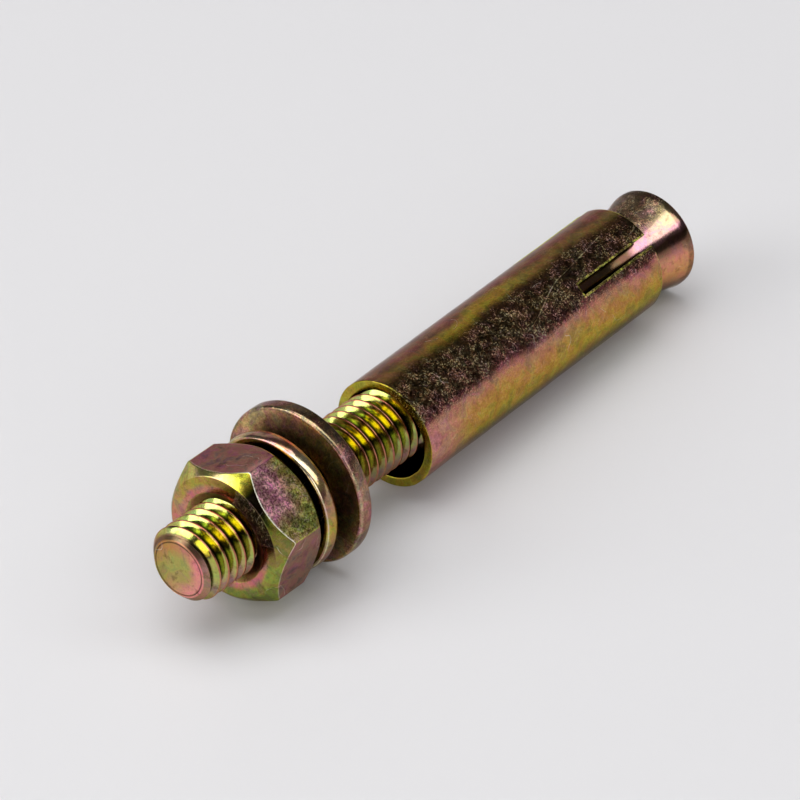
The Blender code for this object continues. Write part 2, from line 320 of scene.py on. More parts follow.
def thread_tree():
    """A grid whose rows follow a right-handed helix and whose radius follows the thread's profile.

    The grid's rows are held at Start and End. Mouth is the radius that a bevel begins from, with Bevel its
    slope, and Side is 1 for a stud, whose bevel cuts crests, and -1 for a nut, whose bevel opens grooves. Run
    Out is the length over which the thread fades to Plain Radius before End.
    """
    tree = bpy.data.node_groups.new("rolled_thread", "GeometryNodeTree")
    tree.interface.new_socket("Geometry", in_out="OUTPUT", socket_type="NodeSocketGeometry")
    sizes = (
        "Start", "End", "Pitch", "Crest Radius", "Root Radius", "Crest", "Flank", "Rounding",
        "Starts At", "Mouth", "Bevel", "Side", "Run Out", "Plain Radius",
    )
    for name in sizes:
        tree.interface.new_socket(name, in_out="INPUT", socket_type="NodeSocketFloat")
    for name in ("Sides", "Rows"):
        tree.interface.new_socket(name, in_out="INPUT", socket_type="NodeSocketInt")
    tree.interface.new_socket("Material", in_out="INPUT", socket_type="NodeSocketMaterial")
    given = tree.nodes.new("NodeGroupInput").outputs
    node = partial(add, tree)

    # Whole turns from well before Start to well past End, so that the helix is complete between them
    first_turn = node(MATHS, node(MATHS, given["Start"], given["Pitch"], **OVER), operation="FLOOR")
    first_turn = node(MATHS, first_turn, 2.0, **MINUS)
    last_turn = node(MATHS, node(MATHS, given["End"], given["Pitch"], **OVER), operation="CEIL")
    last_turn = node(MATHS, last_turn, 2.0, **PLUS)
    turns = node(MATHS, last_turn, first_turn, **MINUS)
    columns = node(MATHS, given["Sides"], 1.0, **PLUS)
    grid = node("GeometryNodeMeshGrid", 1.0, 1.0, node(MATHS, turns, given["Rows"], **TIMES), columns)

    # Each point's row along the axis and column round it
    index = node(MATHS, node("GeometryNodeInputIndex"), 0.5, **PLUS)
    row = node(MATHS, node(MATHS, index, columns, **OVER), operation="FLOOR")
    row_start = node(MATHS, row, columns, **TIMES)
    column = node(MATHS, node(MATHS, index, row_start, **MINUS), 0.5, **MINUS)
    pitches = node(MATHS, row, given["Rows"], **OVER)
    round_turn = node(MATHS, column, given["Sides"], **OVER)
    begin = node(MATHS, node(MATHS, given["Starts At"], math.tau, **OVER), -1.0, **TIMES)
    begin = node(MATHS, begin, first_turn, **PLUS)
    turn = node(MATHS, node(MATHS, pitches, round_turn, **PLUS), begin, **PLUS)
    along = node(MATHS, turn, given["Pitch"], **TIMES)
    along = node(MATHS, along, given["Start"], operation="MAXIMUM")
    along = node(MATHS, along, given["End"], operation="MINIMUM")

    # The profile: a crest, a straight flank down to the root, and both corners rounded
    phase = node(MATHS, node(MATHS, pitches, **PART), 0.5, **MINUS)
    from_crest = node(MATHS, 0.5, node(MATHS, phase, **SIZE), **MINUS)
    off_crest = node(MATHS, from_crest, given["Pitch"], **TIMES)
    half_crest = node(MATHS, given["Crest"], 0.5, **TIMES)
    off_crest = node(MATHS, off_crest, half_crest, **MINUS)
    drop = node(MATHS, off_crest, node(MATHS, given["Flank"], operation="TANGENT"), **OVER)
    flank = node(MATHS, given["Crest Radius"], drop, **MINUS)
    radius = node(MATHS, flank, given["Crest Radius"], given["Rounding"], operation="SMOOTH_MIN")
    radius = node(MATHS, radius, given["Root Radius"], given["Rounding"], operation="SMOOTH_MAX")

    # The bevel: on a stud it cuts the crests by the tip, and in a nut it opens the grooves at both faces
    from_start = node(MATHS, along, given["Start"], **MINUS)
    from_end = node(MATHS, given["End"], along, **MINUS)
    is_nut = node(MATHS, given["Side"], 0.0, operation="LESS_THAN")
    far_off = node(MATHS, node(MATHS, 1.0, is_nut, **MINUS), 1000.0, **TIMES)
    depth = node(MATHS, from_start, node(MATHS, from_end, far_off, **PLUS), operation="MINIMUM")
    slope = node(MATHS, given["Bevel"], given["Side"], **TIMES)
    bevel = node(MATHS, node(MATHS, depth, slope, **TIMES), given["Mouth"], **PLUS)
    bevel = node(MATHS, bevel, given["Side"], **TIMES)
    radius = node(MATHS, radius, given["Side"], **TIMES)
    radius = node(MATHS, radius, bevel, given["Rounding"], operation="SMOOTH_MIN")
    radius = node(MATHS, radius, given["Side"], **TIMES)

    # The run-out: the thread fades to the plain shank
    fade = node(MATHS, from_end, given["Run Out"], **OVER, use_clamp=True)
    over_plain = node(MATHS, radius, given["Plain Radius"], **MINUS)
    radius = node(MATHS, node(MATHS, over_plain, fade, **TIMES), given["Plain Radius"], **PLUS)

    angle = node(MATHS, round_turn, math.tau, **TIMES)
    aside = node(MATHS, radius, node(MATHS, angle, operation="COSINE"), **TIMES)
    up = node(MATHS, radius, node(MATHS, angle, operation="SINE"), **TIMES)
    place = node("ShaderNodeCombineXYZ", along, aside, up)
    placed = node("GeometryNodeSetPosition", grid, None, place)
    welded = node("GeometryNodeMergeByDistance", placed, sockets={"Distance": WELD})
    real = node("GeometryNodeRealizeInstances", welded)
    finish = node("GeometryNodeSetMaterial", real, sockets={"Material": given["Material"]})
    node("NodeGroupOutput", finish)
    return tree


def threaded(tree, material, **sizes):
    """The tree's thread, in these sizes, as a plain mesh."""
    holder = bpy.data.objects.new("thread_holder", bpy.data.meshes.new("thread_holder"))
    bpy.context.scene.collection.objects.link(holder)
    modifier = holder.modifiers.new("thread", "NODES")
    modifier.node_group = tree
    for item in tree.interface.items_tree:
        if item.in_out == "INPUT":
            given = material if item.name == "Material" else sizes[item.name.replace(" ", "_").lower()]
            modifier[item.identifier] = given
    graph = bpy.context.evaluated_depsgraph_get()
    data = bpy.data.meshes.new_from_object(holder.evaluated_get(graph))
    mesh = bmesh.new()
    mesh.from_mesh(data)
    bpy.data.objects.remove(holder, do_unlink=True)
    bpy.data.meshes.remove(data)
    return mesh


def joined(first, *others):
    """The first mesh with the others added and welded to it."""
    for other in others:
        data = bpy.data.meshes.new("joined")
        other.to_mesh(data)
        other.free()
        first.from_mesh(data)
        bpy.data.meshes.remove(data)
    bmesh.ops.remove_doubles(first, verts=first.verts, dist=WELD)
    return first


# Pieces

def make_stud(tree, material):
    """A rolled thread with a bevelled tip, a plain shank and a cone that flares to its rim."""
    thread = threaded(
        tree, material, start=0.0, end=THREAD_END, pitch=THREAD_PITCH, crest_radius=THREAD_RADIUS,
        root_radius=THREAD_ROOT_RADIUS, crest=THREAD_CREST, flank=THREAD_FLANK, rounding=THREAD_ROUNDING,
        starts_at=THREAD_STARTS_AT, mouth=TIP_RADIUS, bevel=1.0, side=1.0, run_out=THREAD_RUNOUT,
        plain_radius=SHANK_RADIUS, sides=THREAD_SIDES, rows=THREAD_ROWS,
    )
    rings = (POLE, 1.2, 2.4, TIP_RADIUS - TIP_EDGE, TIP_RADIUS)
    tip = turned([(0.0, radius) for radius in rings], THREAD_SIDES)
    step = (CONE_START - THREAD_END) / SHANK_STEPS
    shank = [(THREAD_END + step * i, SHANK_RADIUS) for i in range(SHANK_STEPS + 1)]
    cone = []
    for i in range(1, CONE_STEPS + 1):
        share = i / CONE_STEPS
        radius = SHANK_RADIUS + (RIM_RADIUS - SHANK_RADIUS) * share**CONE_FLARE
        cone.append((CONE_START + (CONE_END - CONE_START) * share, radius))
    rim = arc(STUD_LENGTH - CONE_EDGE, RIM_RADIUS - CONE_EDGE, CONE_EDGE, math.pi / 2)
    end = [(STUD_LENGTH, RIM_RADIUS * share) for share in (0.8, 0.55, 0.3)]
    body = turned(shank + cone + rim + end + [(STUD_LENGTH, POLE)], THREAD_SIDES)
    mesh = joined(thread, tip, body)
    return finished(mesh, "stud", STUD_FRAME, material, unevenness=0.03)


def make_sleeve(material):
    """A tube whose walls are cut along four slots, with every edge broken."""
    half_slot = SLOT_WIDTH / 2
    rows = [SLEEVE_LENGTH * i / SLEEVE_STEPS for i in range(SLEEVE_STEPS + 1)]
    blind_end = SLEEVE_LENGTH - SLOT_LENGTH
    blind_row = min(range(len(rows)), key=lambda i: abs(rows[i] - blind_end))
    rows[blind_row] = blind_end

    def columns(radius):
        """The angles of the wall's columns, and for each whether a slot lies between it and the next."""
        angles = []
        in_slot = []
        opening = math.asin(half_slot / radius)
        for slot in range(SLOTS):
            centre = SLOT_AT + math.tau * slot / SLOTS
            angles.append(centre - opening)
            in_slot.append(True)
            start = centre + opening
            sweep = math.tau / SLOTS - 2 * opening
            for j in range(SLEEVE_WALL_STEPS):
                angles.append(start + sweep * j / SLEEVE_WALL_STEPS)
                in_slot.append(False)
        return angles, in_slot

    mesh = bmesh.new()
    skins = []
    for radius in (SLEEVE_RADIUS, BORE_RADIUS):
        angles, in_slot = columns(radius)
        skins.append([[mesh.verts.new(point(along, radius, angle)) for angle in angles] for along in rows])
    outer, inner = skins
    count = len(in_slot)
    solid = {}
    for i in range(len(rows) - 1):
        for j in range(count):
            solid[i, j] = not (in_slot[j] and i >= blind_row)

    def is_solid(i, j):
        """Whether the wall stands between these rows and columns."""
        return solid.get((i, j % count), False)

    for (i, j), here in solid.items():
        if not here:
            continue
        k = (j + 1) % count
        mesh.faces.new((outer[i][j], outer[i][k], outer[i + 1][k], outer[i + 1][j]))
        mesh.faces.new((inner[i][j], inner[i + 1][j], inner[i + 1][k], inner[i][k]))
        edges = (
            (is_solid(i - 1, j), (i, j), (i, k)),
            (is_solid(i + 1, j), (i + 1, k), (i + 1, j)),
            (is_solid(i, j - 1), (i + 1, j), (i, j)),
            (is_solid(i, j + 1), (i, k), (i + 1, k)),
        )
        for neighbour, (a, b), (c, d) in edges:
            if not neighbour:
                mesh.faces.new((outer[c][d], outer[a][b], inner[a][b], inner[c][d]))
    loose = [vert for vert in mesh.verts if not vert.link_faces]
    bmesh.ops.delete(mesh, geom=loose, context="VERTS")
    bmesh.ops.recalc_face_normals(mesh, faces=mesh.faces)
    edges = [edge for edge in mesh.edges if edge.calc_face_angle(0.0) > math.radians(60)]
    bmesh.ops.bevel(
        mesh, geom=edges, offset=SLEEVE_EDGE, offset_type="OFFSET", segments=3, profile=0.5, affect="EDGES"
    )
    return finished(mesh, "sleeve", SLEEVE_FRAME, material, unevenness=0.03)


def make_washer(material):
    """A punched ring: the die rolls its front edges over, and its back edges stay sharper."""
    front_edge = WASHER_ROLLED_EDGE
    hole_edge = WASHER_HOLE_EDGE
    back_edge = WASHER_BACK_EDGE
    front = arc(front_edge, WASHER_RADIUS - front_edge, front_edge, math.pi, 6)
    back = arc(WASHER_THICKNESS - back_edge, WASHER_RADIUS - back_edge, back_edge, math.pi / 2, 3)
    hole_back = arc(WASHER_THICKNESS - back_edge, WASHER_HOLE + back_edge, back_edge, 0.0, 3)
    hole_front = arc(hole_edge, WASHER_HOLE + hole_edge, hole_edge, -math.pi / 2, 3)
    face = [(0.0, WASHER_HOLE + hole_edge + WASHER_FACE * i / 8) for i in range(1, 8)]
    mesh = turned(front + back + hole_back + hole_front + face, TURNED_SIDES, closed_section=True)
    return finished(mesh, "washer", WASHER_FRAME, material, unevenness=0.05)


def make_spring_washer(material):
    """A bar with a slightly crowned rim, wound one turn, left-handed, and sheared apart at a slant."""
    edge = SPRING_EDGE
    inner = SPRING_HOLE + edge
    outer = SPRING_RADIUS - edge
    middle = SPRING_THICKNESS / 2
    rim = arc(edge, outer, edge, math.pi, 4)
    rim += [(edge + (SPRING_THICKNESS - 2 * edge) * i / 8, SPRING_RADIUS) for i in range(1, 8)]
    rim += arc(SPRING_THICKNESS - edge, outer, edge, math.pi / 2, 4)
    section = [(along, radius - SPRING_CROWN * ((along - middle) / middle) ** 2) for along, radius in rim]
    section += arc(SPRING_THICKNESS - edge, inner, edge, 0.0, 4)
    section += arc(edge, inner, edge, -math.pi / 2, 4)
    half_gap = SPRING_GAP / 2 / SPRING_HOLE
    rows = []
    for i in range(SPRING_STEPS + 1):
        swept = half_gap + (math.tau - 2 * half_gap) * i / SPRING_STEPS
        rise = SPRING_RISE * swept / math.tau
        row = []
        for along, radius in section:
            slant = (along - middle) * math.tan(SPRING_SLANT) / SPRING_RADIUS
            row.append(point(rise + along, radius, SPRING_SPLIT_AT - swept - slant))
        rows.append(row)
    mesh = stack(rows)
    bmesh.ops.holes_fill(mesh, edges=[edge for edge in mesh.edges if edge.is_boundary], sides=0)
    return finished(mesh, "split_washer", SPRING_FRAME, material, unevenness=0.04)


def make_nut(tree, material):
    """A hexagon whose corners are cut by a cone at each face, with a countersunk thread through it."""
    rounding = NUT_CORNER_ROUNDING
    corner_centre = (NUT_HALF_FLATS - rounding) / math.cos(math.pi / 6)
    flat_ends = math.atan((NUT_HALF_FLATS - rounding) * math.tan(math.pi / 6) / NUT_HALF_FLATS)
    sector = math.tau / 6

    def hexagon(from_flat):
        """The radius of the hexagon with its rounded corners."""
        if abs(from_flat) < flat_ends:
            return NUT_HALF_FLATS / math.cos(from_flat)
        off = sector / 2 - abs(from_flat)
        return corner_centre * math.cos(off) + math.sqrt(rounding**2 - (corner_centre * math.sin(off)) ** 2)

    def column(j):
        """The angle of a column and its turn from the middle of its flat. Columns crowd at the corners."""
        per_flat = NUT_SIDES // 6
        share = (j % per_flat) / per_flat - 0.5
        from_flat = sector * (share + NUT_CROWDING * math.sin(math.tau * share) / math.tau)
        return NUT_CORNER_AT + sector * (j // per_flat + 0.5) + from_flat, from_flat

    def eased(before, corner, after, size):
        """A small round in place of the corner between two straight lines."""
        points = []
        for i in range(5):
            t = i / 4
            points.append(
                corner + (before - corner).normalized() * size * (1 - t) ** 2
                + (after - corner).normalized() * size * t**2
            )
        return points

    def outline(from_flat):
        """(along, radius) from the front face's hole, over the flat, to the back face's hole."""
        reach = hexagon(from_flat)
        depth = (reach - NUT_FACE_RADIUS) * math.tan(NUT_CHAMFER)
        mouth = Vector((0.0, NUT_MOUTH_RADIUS))
        edge = Vector((0.0, NUT_FACE_RADIUS))
        shoulder = Vector((depth, reach))
        middle = Vector((NUT_HEIGHT / 2, reach))
        half = [mouth, mouth.lerp(edge, 0.5)]
        half += eased(mouth, edge, shoulder, NUT_FACE_EASING)
        half += eased(edge, shoulder, middle, NUT_SHOULDER_EASING)
        half += [shoulder.lerp(middle, share) for share in (0.25, 0.5, 0.75)]
        mirrored = [Vector((NUT_HEIGHT - place.x, place.y)) for place in reversed(half)]
        return half + [middle] + mirrored

    columns = [column(j) for j in range(NUT_SIDES)]
    outlines = [outline(from_flat) for _, from_flat in columns]
    rows = []
    for i in range(len(outlines[0])):
        rows.append([point(outlines[j][i].x, outlines[j][i].y, columns[j][0]) for j in range(NUT_SIDES)])
    for row in (rows[0], rows[-1]):
        for j in range(NUT_SIDES):
            row[j] = point(row[j].x, NUT_MOUTH_RADIUS, math.tau * j / NUT_SIDES + NUT_CORNER_AT)
    shell = stack(rows)
    thread = threaded(
        tree, material, start=0.0, end=NUT_HEIGHT, pitch=THREAD_PITCH, crest_radius=NUT_GROOVE_RADIUS,
        root_radius=NUT_RIDGE_RADIUS, crest=NUT_GROOVE_FLAT, flank=THREAD_FLANK, rounding=THREAD_ROUNDING,
        starts_at=(THREAD_STARTS_AT + math.tau * NUT_AT / THREAD_PITCH - NUT_CORNER_AT) % math.tau,
        mouth=NUT_MOUTH_RADIUS, bevel=1 / math.tan(NUT_COUNTERSINK), side=-1.0, run_out=NO_RUNOUT,
        plain_radius=NUT_MOUTH_RADIUS, sides=NUT_SIDES, rows=THREAD_ROWS,
    )
    bmesh.ops.rotate(thread, verts=thread.verts, matrix=Matrix.Rotation(NUT_CORNER_AT, 3, "X"))
    mesh = joined(shell, thread)
    return finished(mesh, "nut", NUT_FRAME, material, unevenness=0.012)


# Finishes

# Sizes of the plating's patterns, in millimetres. Pits and spangles are about a tenth of a millimetre on the
# real pieces and are drawn at two to three times that, to show. The others have their real size.
CLOUD_SIZE = 2.38
MOTTLE_SIZE = 0.5263
STAIN_SIZE = 1.25
PATCH_SIZE = 1.6667
PIT_SIZE = 0.2564
SPANGLE_SIZE = 0.2174
SCRATCH_BEND = 6.25
SCRATCHED_AREA = 3.333
EDGE_WANDER = 11.11
BAND_WAVER = 0.909


def degrees(*stops):
    """A ramp's stops from colours at angles round the axis."""
    return [(angle / 360, colour) for angle, colour in stops]


def between(node, value, rise, fall):
    """The share that rises from 0 to 1 over one pair of values and falls back over the other pair."""
    return node(MATHS, node(RANGE, value, *rise, **SMOOTH), node(RANGE, value, *fall, **SMOOTH), **TIMES)


def chromate_film():
    """What all the plated pieces share, over a piece's own colours.

    The film's colour drifts in clouds and is broken by brown stains and fine scratches. Where the zinc is
    etched, by the share Grain, it crowds into dark and bright patches of pits and matt spangles painted pale
    as glints.
    """
    tree = bpy.data.node_groups.new("chromate_film", "ShaderNodeTree")
    for name, kind in (("Place", "Vector"), ("Color", "Color"), ("Clouds", "Float"), ("Stains", "Float"),
                       ("Grain", "Float"), ("Matt", "Float")):
        tree.interface.new_socket(name, in_out="INPUT", socket_type="NodeSocket" + kind)
    for name, kind in (("Color", "Color"), ("Roughness", "Float"), ("Height", "Float")):
        tree.interface.new_socket(name, in_out="OUTPUT", socket_type="NodeSocket" + kind)
    node = partial(add, tree)
    given = node("NodeGroupInput").outputs
    place = given["Place"]
    etched = given["Grain"]

    # Clouds and mottle run through the order in which the film's colours follow each other
    clouds = node(NOISE, place, 1 / CLOUD_SIZE, 3.0, 0.6, sockets={"Distortion": 0.6})
    mottle = node(NOISE, place, 1 / MOTTLE_SIZE, 4.0, 0.65)
    drift = node(MATHS, node(MATHS, clouds, 3.0, **TIMES), node(MATHS, mottle, 0.9, **TIMES), **PLUS)
    order = node(RAMP, node(MATHS, drift, **PART), stops=[
        (0.0, "#D8B246"), (0.14, "#E3A26C"), (0.28, "#DE8E9C"), (0.42, "#A97C8A"), (0.52, "#8E8462"),
        (0.64, "#8FAE58"), (0.78, "#BED452"), (0.9, "#E2D648"), (1.0, "#D8B246"),
    ])
    colour = node(MIX, given["Clouds"], given["Color"], order, data_type="RGBA", blend_type="OVERLAY")
    stain = node(RANGE, node(NOISE, place, 1 / STAIN_SIZE, 6.0, 0.7), 0.52, 0.68, **SMOOTH)
    colour = node(MIX, node(MATHS, stain, given["Stains"], **TIMES), colour, "#4E3A2E", **DARKEN)

    # Etching: dark and bright patches, then pits, then spangles that crowd on the bright patches and are
    # painted pale as glints
    patches = node(RANGE, node(NOISE, place, 1 / PATCH_SIZE, 6.0, 0.72), 0.44, 0.57, **SMOOTH)
    shadowed = node(MATHS, node(MATHS, 1.0, patches, **MINUS), etched, **TIMES)
    colour = node(MIX, node(MATHS, shadowed, 0.9, **TIMES), colour, "#655746", **DARKEN)
    grain = node(NOISE, place, 1 / PIT_SIZE, 4.0, 0.75)
    pits = node(MATHS, node(RANGE, grain, 0.57, 0.43, **SMOOTH), etched, **TIMES)
    colour = node(MIX, pits, colour, "#33271F", **DARKEN)
    spangle = node(NOISE, place, 1 / SPANGLE_SIZE, 2.0, 0.6, sockets={"Distortion": 0.8})
    spangles = node(MATHS, node(RANGE, spangle, 0.52, 0.66, **SMOOTH), etched, **TIMES)
    crowd = node(RANGE, patches, 0.0, 1.0, 0.25, 1.0)
    spangles = node(MATHS, spangles, crowd, **TIMES)
    glint = node(MIX, 0.4, "#EBCFC0", order, **COLOURS)
    colour = node(MIX, node(MATHS, spangles, 0.8, **TIMES), colour, glint, **COLOURS)

    # A scratch is where a slow noise passes its middle value: a line about 0.1 mm wide that runs on
    bend = node(NOISE, place, 1 / SCRATCH_BEND, 2.0, 0.4)
    lines = node(MATHS, node(MATHS, bend, 0.5, **MINUS), **SIZE)
    where = node(RANGE, node(NOISE, place, 1 / SCRATCHED_AREA, 2.0, 0.5), 0.54, 0.62, **SMOOTH)
    scratches = node(MATHS, node(RANGE, lines, 0.003, 0.001, **SMOOTH), where, **TIMES)
    colour = node(MIX, node(MATHS, scratches, 0.5, **TIMES), colour, "#D8CEC0", **COLOURS)

    # Etching and scratches scatter the light, and the etching also stands up from the surface
    rough = node(MATHS, node(MATHS, clouds, 0.1, **TIMES), given["Matt"], **PLUS)
    rough = node(MATHS, node(MATHS, etched, 0.07, **TIMES), rough, **PLUS)
    rough = node(MATHS, node(MATHS, spangles, 0.22, **TIMES), rough, **PLUS)
    rough = node(MATHS, node(MATHS, scratches, 0.15, **TIMES), rough, **PLUS)
    fine = node(MATHS, node(MATHS, node(MATHS, grain, spangle, **PLUS), 1.5, **TIMES), etched, **TIMES)
    height = node(MATHS, node(MATHS, mottle, 0.12, **TIMES), fine, **PLUS)
    node("NodeGroupOutput", colour, rough, height)
    return tree


def plated(name, place, film, paint, clouds=0.4, stains=0.5):
    """Yellow chromated zinc plate on steel, laid out in a piece's own millimetres.

    The eye sees a thin clear film over bright metal: it mirrors softly, and its colour turns from gold
    through pink and mauve to green as the film thickens. paint gives the film's colour, the share of etched
    grain and the roughness. It gets the place along the axis, the angle about it, that angle as a share of a
    turn, which wanders a little, and the radius.
    """
    material = bpy.data.materials.new(name)
    material.use_nodes = True
    tree = material.node_tree
    node = partial(add, tree)
    shader = tree.nodes["Principled BSDF"]
    shader.inputs["Metallic"].default_value = 1.0
    location = place.to_translation()
    rotation = place.to_euler()
    laid = node("ShaderNodeTexCoord").outputs["Object"]
    own = node("ShaderNodeMapping", laid, location, rotation, (MM, MM, MM), vector_type="TEXTURE")
    along, aside, up = node("ShaderNodeSeparateXYZ", own).outputs
    angle = node(MATHS, up, aside, operation="ARCTAN2")
    wander = node(MATHS, node(NOISE, own, 1 / EDGE_WANDER, 2.0, 0.5), 0.5, **MINUS)
    wander = node(MATHS, wander, 0.09, **TIMES)
    turn = node(MATHS, node(MATHS, angle, math.tau, **OVER), wander, **PLUS)
    turn = node(MATHS, turn, **PART)
    radius = node("ShaderNodeVectorMath", node("ShaderNodeCombineXYZ", 0.0, aside, up), operation="LENGTH")
    colour, grain, matt = paint(node, along, angle, turn, radius)
    coat = node("ShaderNodeGroup", node_tree=film, sockets={
        "Place": own, "Color": colour, "Clouds": clouds, "Stains": stains, "Grain": grain, "Matt": matt,
    }).outputs
    bump = node("ShaderNodeBump", sockets={
        "Strength": 1.0, "Distance": GRAIN_HEIGHT, "Height": coat["Height"],
    })
    tree.links.new(coat["Color"], shader.inputs["Base Color"])
    tree.links.new(coat["Roughness"], shader.inputs["Roughness"])
    tree.links.new(bump.outputs["Normal"], shader.inputs["Normal"])

    # Seen at a grazing angle, the film loses about half of its colour
    glancing = node(MIX, 0.55, coat["Color"], "#FFFFFF", **COLOURS)
    tree.links.new(glancing.outputs["Result"], shader.inputs["Specular Tint"])
    return material


def paint_stud(node, along, angle, turn, radius):
    """Rolled thread and turned ends: gold and green bands with roots painted dark as shade, a paler tip and a
    pink cone.
    """
    # On the thread the bands' edges waver from one turn to the next
    waver = node(NOISE, node("ShaderNodeCombineXYZ", along, angle, radius), 1 / BAND_WAVER, 2.0, 0.6)
    waver = node(MATHS, node(MATHS, waver, 0.5, **MINUS), node(RANGE, along, 49.0, 46.0, 0.0, 0.16), **TIMES)
    # Painted shade: the dark stops at 107° and 144° are bands where the flanks mirror the dark room
    colour = node(RAMP, node(MATHS, turn, waver, **PLUS), stops=degrees(
        (0, "#B98890"), (35, "#B8A858"), (60, "#BCD284"), (98, "#C0D070"), (107, "#3A3820"),
        (113, "#E0D648"), (139, "#E0D444"), (144, "#4A4826"), (152, "#B4C068"), (186, "#AEB670"),
        (206, "#A28084"), (245, "#9C9C50"), (300, "#C0B048"), (360, "#B98890"),
    ))
    # Painted shade: the thread's roots are darkened, as the grooves lie in shade
    colour = node(MIX, node(RANGE, radius, 4.35, 4.05, **SMOOTH), colour, "#403E20", **COLOURS)
    colour = node(MIX, node(RANGE, radius, 4.78, 4.86, **SMOOTH), colour, "#B8806C", **COLOURS)
    bevel = node(RAMP, turn, stops=degrees(
        (0, "#7A6A50"), (60, "#7E6452"), (92, "#A08672"), (110, "#54423A"), (138, "#6E564A"),
        (160, "#A88A80"), (200, "#A88478"), (232, "#A0806C"), (300, "#8C7460"), (360, "#7A6A50"),
    ))
    on_bevel = node(RANGE, radius, 3.5, 3.64, **SMOOTH)
    on_bevel = node(MATHS, node(RANGE, along, 1.0, 0.5, **SMOOTH), on_bevel, **TIMES)
    colour = node(MIX, on_bevel, colour, bevel, **COLOURS)
    rim = node(RAMP, turn, stops=degrees(
        (0, "#A8965C"), (60, "#BC8C5E"), (112, "#CC8E80"), (150, "#E8949C"), (250, "#E0949A"),
        (310, "#AA9C60"), (360, "#A8965C"),
    ))
    disc = node(MIX, node(RANGE, radius, 1.3, 3.1, **SMOOTH), "#A8A468", rim, **COLOURS)
    # Painted shade: a thin dark ring round the disc, the shade of a small groove that the mesh doesn't have
    ring = between(node, radius, (3.3, 3.42), (3.6, 3.5))
    disc = node(MIX, node(MATHS, ring, 0.8, **TIMES), disc, "#4C382C", **COLOURS)
    colour = node(MIX, node(RANGE, along, 0.12, 0.04, **SMOOTH), colour, disc, **COLOURS)
    # Painted shade: the shank and the cone's foot inside the sleeve are darkened, as they lie in the sleeve's
    # shade
    colour = node(MIX, node(RANGE, along, 50.0, 56.0, **SMOOTH), colour, "#6E5648", **COLOURS)
    # Painted highlight and shade on the cone: the pale pink stops from 118° to 134°, with pale gold over them
    # near the rim, are a painted highlight, and the dark stops at 142° and 150° are painted shade
    cone = node(RAMP, turn, stops=degrees(
        (0, "#A98A80"), (40, "#A8887C"), (92, "#AA8C7C"), (108, "#B8948E"), (118, "#D4A6B6"),
        (134, "#D6AABA"), (142, "#6A4E46"), (150, "#6E524A"), (158, "#B4847A"), (167, "#E09A84"),
        (186, "#D89A70"), (210, "#A07C70"), (260, "#A8A060"), (310, "#C89A7C"), (360, "#A98A80"),
    ))
    gold = between(node, turn, (0.28, 0.31), (0.38, 0.35))
    gold = node(MATHS, gold, node(RANGE, along, 84.0, 89.0, 0.0, 0.4, **SMOOTH), **TIMES)
    cone = node(MIX, gold, cone, "#EEE69C", **COLOURS)
    blank = node(MIX, node(RANGE, radius, 1.0, 5.6, **SMOOTH), "#A89A66", "#B48A7C", **COLOURS)
    at_end = node(RANGE, along, STUD_LENGTH - 0.2, STUD_LENGTH - 0.08, **SMOOTH)
    cone = node(MIX, at_end, cone, blank, **COLOURS)
    on_cone = node(RANGE, along, 80.5, 82.5, **SMOOTH)
    colour = node(MIX, on_cone, colour, cone, **COLOURS)
    edge = node(RANGE, radius, RIM_RADIUS - 0.14, RIM_RADIUS - 0.06, **SMOOTH)
    colour = node(MIX, node(MATHS, edge, 0.5, **TIMES), colour, "#5C463C", **COLOURS)
    upper_left = node(MATHS, node(RANGE, turn, 0.33, 0.29, **SMOOTH), on_cone, **TIMES)
    grain = node(RANGE, upper_left, 0.0, 1.0, 0.08, 0.7)
    return colour, grain, node(MATHS, node(MATHS, on_bevel, 0.22, **TIMES), 0.07, **PLUS)


